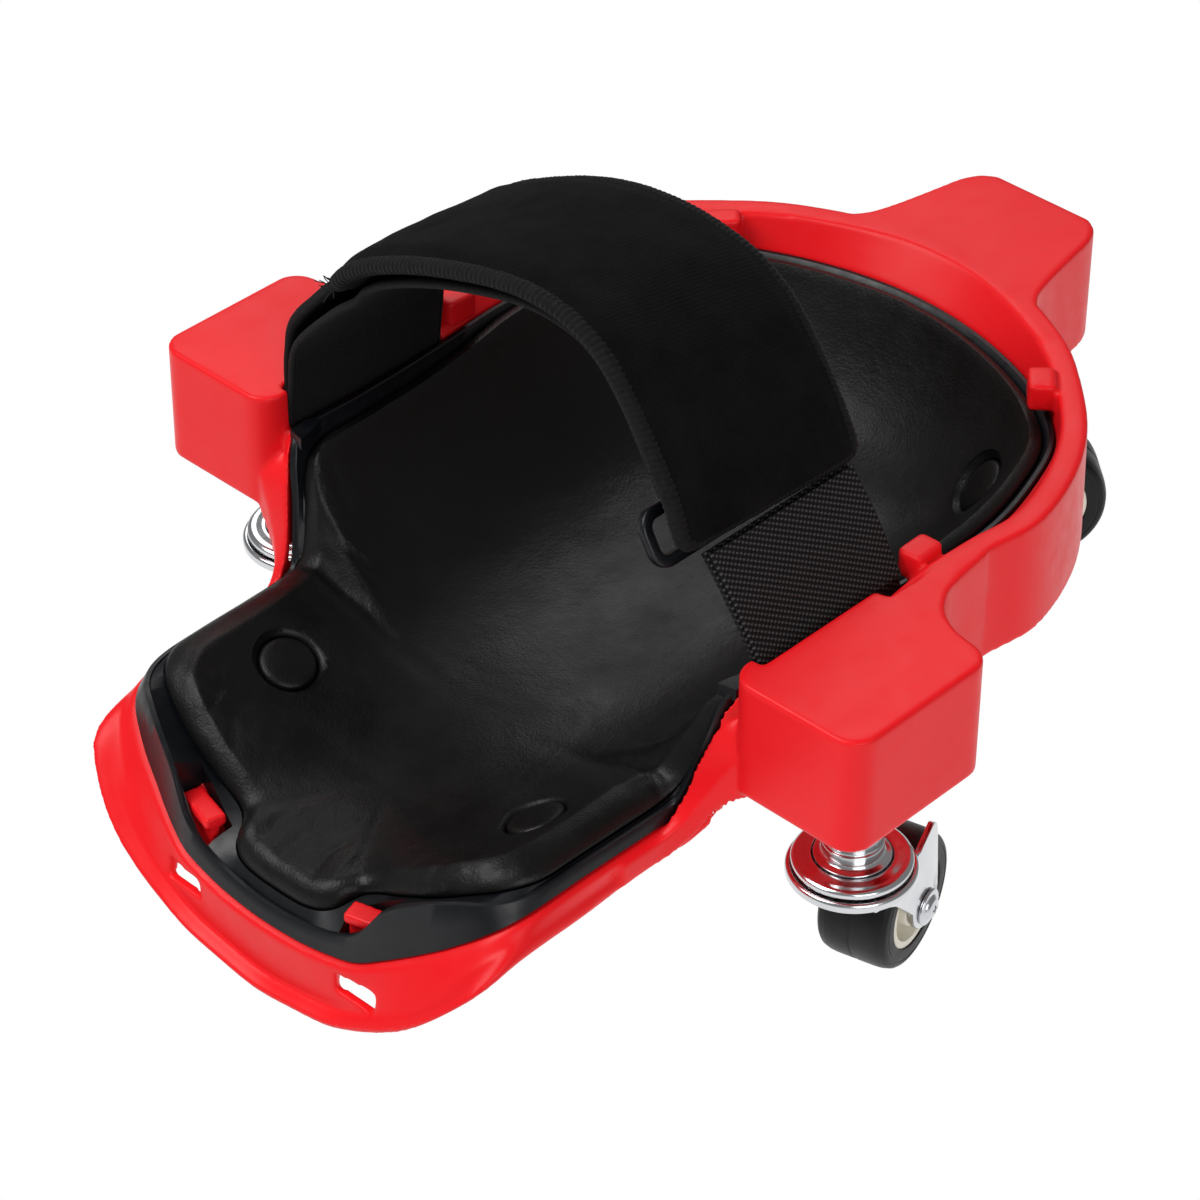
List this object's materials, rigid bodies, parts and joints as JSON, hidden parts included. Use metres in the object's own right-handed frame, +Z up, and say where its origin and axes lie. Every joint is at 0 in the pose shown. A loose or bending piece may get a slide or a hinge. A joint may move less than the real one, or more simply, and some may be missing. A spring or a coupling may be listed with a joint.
{
  "type": "rolling knee creeper",
  "caption": "Rolling knee creeper: a red moulded base on swivel castors with a foam knee pad, a raised knee cup and a padded strap that arches over the leg.",
  "frame": {"origin": "on the floor, under the middle of the bounding box", "axes": "+X along the length towards the knee cup and the single castor, +Y to the side with the hook flap, +Z up"},
  "size_m": [0.3414, 0.266, 0.1984],
  "materials": {
    "red_plastic": "satin moulded",
    "black_plastic": "satin moulded",
    "pad_skin": "leather-grain foam skin",
    "strap_cloth": "matte knit over foam",
    "webbing": "woven",
    "zinc": "bright plated",
    "hub_plastic": "moulded",
    "tyre": "satin rubber"
  },
  "bodies": {
    "platform": {"platform_tray": "red_plastic", "pad_carrier": "black_plastic", "knee_pad": "pad_skin", "pad_button_tail_left": "pad_skin", "pad_button_tail_right": "pad_skin", "pad_button_cup_left": "pad_skin", "pad_button_cup_right": "pad_skin", "strap_pad": "strap_cloth", "strap_lining": "webbing", "elastic_web": "webbing", "hook_flap": "strap_cloth", "anchor_rod_left": "zinc", "anchor_rod_right": "zinc", "strap_ring": "black_plastic", "castor_right_stem": "zinc", "castor_right_stem_socket": "black_plastic", "castor_right_race_cup": "zinc", "castor_left_stem": "zinc", "castor_left_stem_socket": "black_plastic", "castor_left_race_cup": "zinc", "castor_front_stem": "zinc", "castor_front_stem_socket": "black_plastic", "castor_front_race_cup": "zinc"},
    "castor_right_swivel": {"castor_right_ball_ring": "zinc", "castor_right_fork": "zinc", "castor_right_axle_bolt": "zinc", "castor_right_axle_nut": "zinc", "castor_right_axle_spacer": "zinc"},
    "castor_right_wheel": {"castor_right_hub": "hub_plastic", "castor_right_tyre": "tyre"},
    "castor_left_swivel": {"castor_left_ball_ring": "zinc", "castor_left_fork": "zinc", "castor_left_axle_bolt": "zinc", "castor_left_axle_nut": "zinc", "castor_left_axle_spacer": "zinc"},
    "castor_left_wheel": {"castor_left_hub": "hub_plastic", "castor_left_tyre": "tyre"},
    "castor_front_swivel": {"castor_front_ball_ring": "zinc", "castor_front_fork": "zinc", "castor_front_axle_bolt": "zinc", "castor_front_axle_nut": "zinc", "castor_front_axle_spacer": "zinc"},
    "castor_front_wheel": {"castor_front_hub": "hub_plastic", "castor_front_tyre": "tyre"}
  },
  "joints": [
    {"name": "right_swivel", "type": "hinge", "parent": "platform", "child": "castor_right_swivel", "pos_m": [-0.0484, -0.108, 0.046], "axis": [0, 0, 1], "continuous": true},
    {"name": "right_wheel_roll", "type": "hinge", "parent": "castor_right_swivel", "child": "castor_right_wheel", "pos_m": [-0.02848, -0.10318, 0.0205], "axis": [-0.2351, 0.972, 0], "continuous": true},
    {"name": "left_swivel", "type": "hinge", "parent": "platform", "child": "castor_left_swivel", "pos_m": [-0.0484, 0.108, 0.046], "axis": [0, 0, 1], "continuous": true},
    {"name": "left_wheel_roll", "type": "hinge", "parent": "castor_left_swivel", "child": "castor_left_wheel", "pos_m": [-0.02848, 0.10318, 0.0205], "axis": [0.2351, 0.972, 0], "continuous": true},
    {"name": "front_swivel", "type": "hinge", "parent": "platform", "child": "castor_front_swivel", "pos_m": [0.1343, 0, 0.046], "axis": [0, 0, 1], "continuous": true},
    {"name": "front_wheel_roll", "type": "hinge", "parent": "castor_front_swivel", "child": "castor_front_wheel", "pos_m": [0.14977, -0.01345, 0.0205], "axis": [0.6561, 0.7547, 0], "continuous": true}
  ]
}
